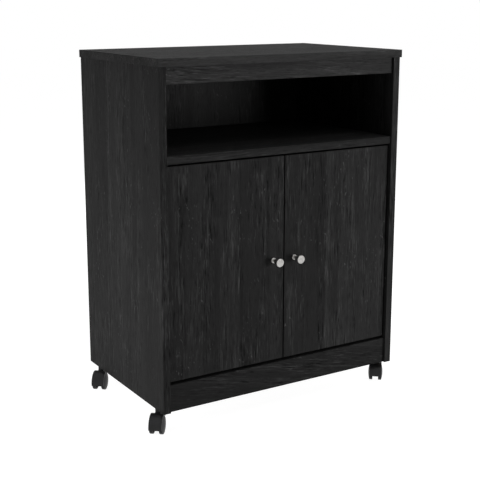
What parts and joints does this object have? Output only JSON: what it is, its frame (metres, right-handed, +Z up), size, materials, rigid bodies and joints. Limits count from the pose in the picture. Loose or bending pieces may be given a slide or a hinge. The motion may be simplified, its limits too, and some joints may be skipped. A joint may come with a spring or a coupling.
{
  "type": "kitchen cart",
  "caption": "Kitchen cart: laminated cabinet with an open bay over a two-door cupboard, on swivelling twin-wheel stem casters.",
  "frame": {"origin": "on the floor, under the middle of the cart's whole outline, knobs and resting casters included; the cabinet's own centre stands 7.7 mm right of it and 7.5 mm behind it", "axes": "+X to the right seen from the front, +Y to the back, +Z up"},
  "size_m": [0.6198, 0.3882, 0.764],
  "materials": {
    "laminate": "black-oak woodgrain paper on particle board, satin",
    "hardboard": "hardboard, black-oak woodgrain inside",
    "nickel": "brushed nickel plate",
    "zinc": "zinc plate, satin",
    "beech": "plain beech",
    "black_nylon": "moulded black nylon, satin"
  },
  "bodies": {
    "cabinet": {"top_panel": "laminate", "left_side_panel": "laminate", "right_side_panel": "laminate", "apron_rail": "laminate", "fixed_shelf": "laminate", "bottom_panel": "laminate", "kick_plate": "laminate", "back_panel": "hardboard", "inner_shelf": "laminate", "shelf_pins": "zinc", "cam_bolts": "zinc", "cam_locks": "zinc", "dowels": "beech", "back_nails": "zinc", "left_upper_hinge_arm": "nickel", "left_lower_hinge_arm": "nickel", "left_upper_hinge_plate": "nickel", "left_lower_hinge_plate": "nickel", "right_upper_hinge_arm": "nickel", "right_lower_hinge_arm": "nickel", "right_upper_hinge_plate": "nickel", "right_lower_hinge_plate": "nickel", "hinge_plate_screws": "zinc", "hinge_clamp_screws": "zinc", "caster_sockets": "black_nylon"},
    "left_door": {"left_door": "laminate", "left_knob": "nickel", "left_knob_screw": "zinc", "left_upper_hinge_cup": "nickel", "left_lower_hinge_cup": "nickel", "left_hinge_pins": "zinc", "left_cup_screws": "zinc"},
    "right_door": {"right_door": "laminate", "right_knob": "nickel", "right_knob_screw": "zinc", "right_upper_hinge_cup": "nickel", "right_lower_hinge_cup": "nickel", "right_hinge_pins": "zinc", "right_cup_screws": "zinc"},
    "front_left_caster": {"front_left_caster_stem": "zinc", "front_left_caster_hood": "black_nylon", "front_left_caster_axle": "zinc"},
    "front_left_caster_left_wheel": {"front_left_caster_left_wheel": "black_nylon"},
    "front_left_caster_right_wheel": {"front_left_caster_right_wheel": "black_nylon"},
    "front_right_caster": {"front_right_caster_stem": "zinc", "front_right_caster_hood": "black_nylon", "front_right_caster_axle": "zinc"},
    "front_right_caster_left_wheel": {"front_right_caster_left_wheel": "black_nylon"},
    "front_right_caster_right_wheel": {"front_right_caster_right_wheel": "black_nylon"},
    "rear_left_caster": {"rear_left_caster_stem": "zinc", "rear_left_caster_hood": "black_nylon", "rear_left_caster_axle": "zinc"},
    "rear_left_caster_left_wheel": {"rear_left_caster_left_wheel": "black_nylon"},
    "rear_left_caster_right_wheel": {"rear_left_caster_right_wheel": "black_nylon"},
    "rear_right_caster": {"rear_right_caster_stem": "zinc", "rear_right_caster_hood": "black_nylon", "rear_right_caster_axle": "zinc"},
    "rear_right_caster_left_wheel": {"rear_right_caster_left_wheel": "black_nylon"},
    "rear_right_caster_right_wheel": {"rear_right_caster_right_wheel": "black_nylon"}
  },
  "joints": [
    {"name": "left_door_hinge", "type": "hinge", "parent": "cabinet", "child": "left_door", "pos_m": [-0.25643, -0.15925, 0.3355], "axis": [0, 0, -1], "range_deg": [0, 100]},
    {"name": "right_door_hinge", "type": "hinge", "parent": "cabinet", "child": "right_door", "pos_m": [0.27057, -0.15925, 0.3355], "axis": [0, 0, 1], "range_deg": [0, 100]},
    {"name": "front_left_caster_swivel", "type": "hinge", "parent": "cabinet", "child": "front_left_caster", "pos_m": [-0.27893, -0.13425, 0.052], "axis": [0, 0, 1], "continuous": true},
    {"name": "front_left_caster_left_wheel_spin", "type": "hinge", "parent": "front_left_caster", "child": "front_left_caster_left_wheel", "pos_m": [-0.286, -0.14268, 0.019], "axis": [0.766, -0.6428, 0], "continuous": true},
    {"name": "front_left_caster_right_wheel_spin", "type": "hinge", "parent": "front_left_caster", "child": "front_left_caster_right_wheel", "pos_m": [-0.286, -0.14268, 0.019], "axis": [0.766, -0.6428, 0], "continuous": true},
    {"name": "front_right_caster_swivel", "type": "hinge", "parent": "cabinet", "child": "front_right_caster", "pos_m": [0.29307, -0.13425, 0.052], "axis": [0, 0, 1], "continuous": true},
    {"name": "front_right_caster_left_wheel_spin", "type": "hinge", "parent": "front_right_caster", "child": "front_right_caster_left_wheel", "pos_m": [0.286, -0.14268, 0.019], "axis": [0.766, -0.6428, 0], "continuous": true},
    {"name": "front_right_caster_right_wheel_spin", "type": "hinge", "parent": "front_right_caster", "child": "front_right_caster_right_wheel", "pos_m": [0.286, -0.14268, 0.019], "axis": [0.766, -0.6428, 0], "continuous": true},
    {"name": "rear_left_caster_swivel", "type": "hinge", "parent": "cabinet", "child": "rear_left_caster", "pos_m": [-0.27893, 0.14975, 0.052], "axis": [0, 0, 1], "continuous": true},
    {"name": "rear_left_caster_left_wheel_spin", "type": "hinge", "parent": "rear_left_caster", "child": "rear_left_caster_left_wheel", "pos_m": [-0.286, 0.14132, 0.019], "axis": [0.766, -0.6428, 0], "continuous": true},
    {"name": "rear_left_caster_right_wheel_spin", "type": "hinge", "parent": "rear_left_caster", "child": "rear_left_caster_right_wheel", "pos_m": [-0.286, 0.14132, 0.019], "axis": [0.766, -0.6428, 0], "continuous": true},
    {"name": "rear_right_caster_swivel", "type": "hinge", "parent": "cabinet", "child": "rear_right_caster", "pos_m": [0.29307, 0.14975, 0.052], "axis": [0, 0, 1], "continuous": true},
    {"name": "rear_right_caster_left_wheel_spin", "type": "hinge", "parent": "rear_right_caster", "child": "rear_right_caster_left_wheel", "pos_m": [0.286, 0.14132, 0.019], "axis": [0.766, -0.6428, 0], "continuous": true},
    {"name": "rear_right_caster_right_wheel_spin", "type": "hinge", "parent": "rear_right_caster", "child": "rear_right_caster_right_wheel", "pos_m": [0.286, 0.14132, 0.019], "axis": [0.766, -0.6428, 0], "continuous": true}
  ]
}
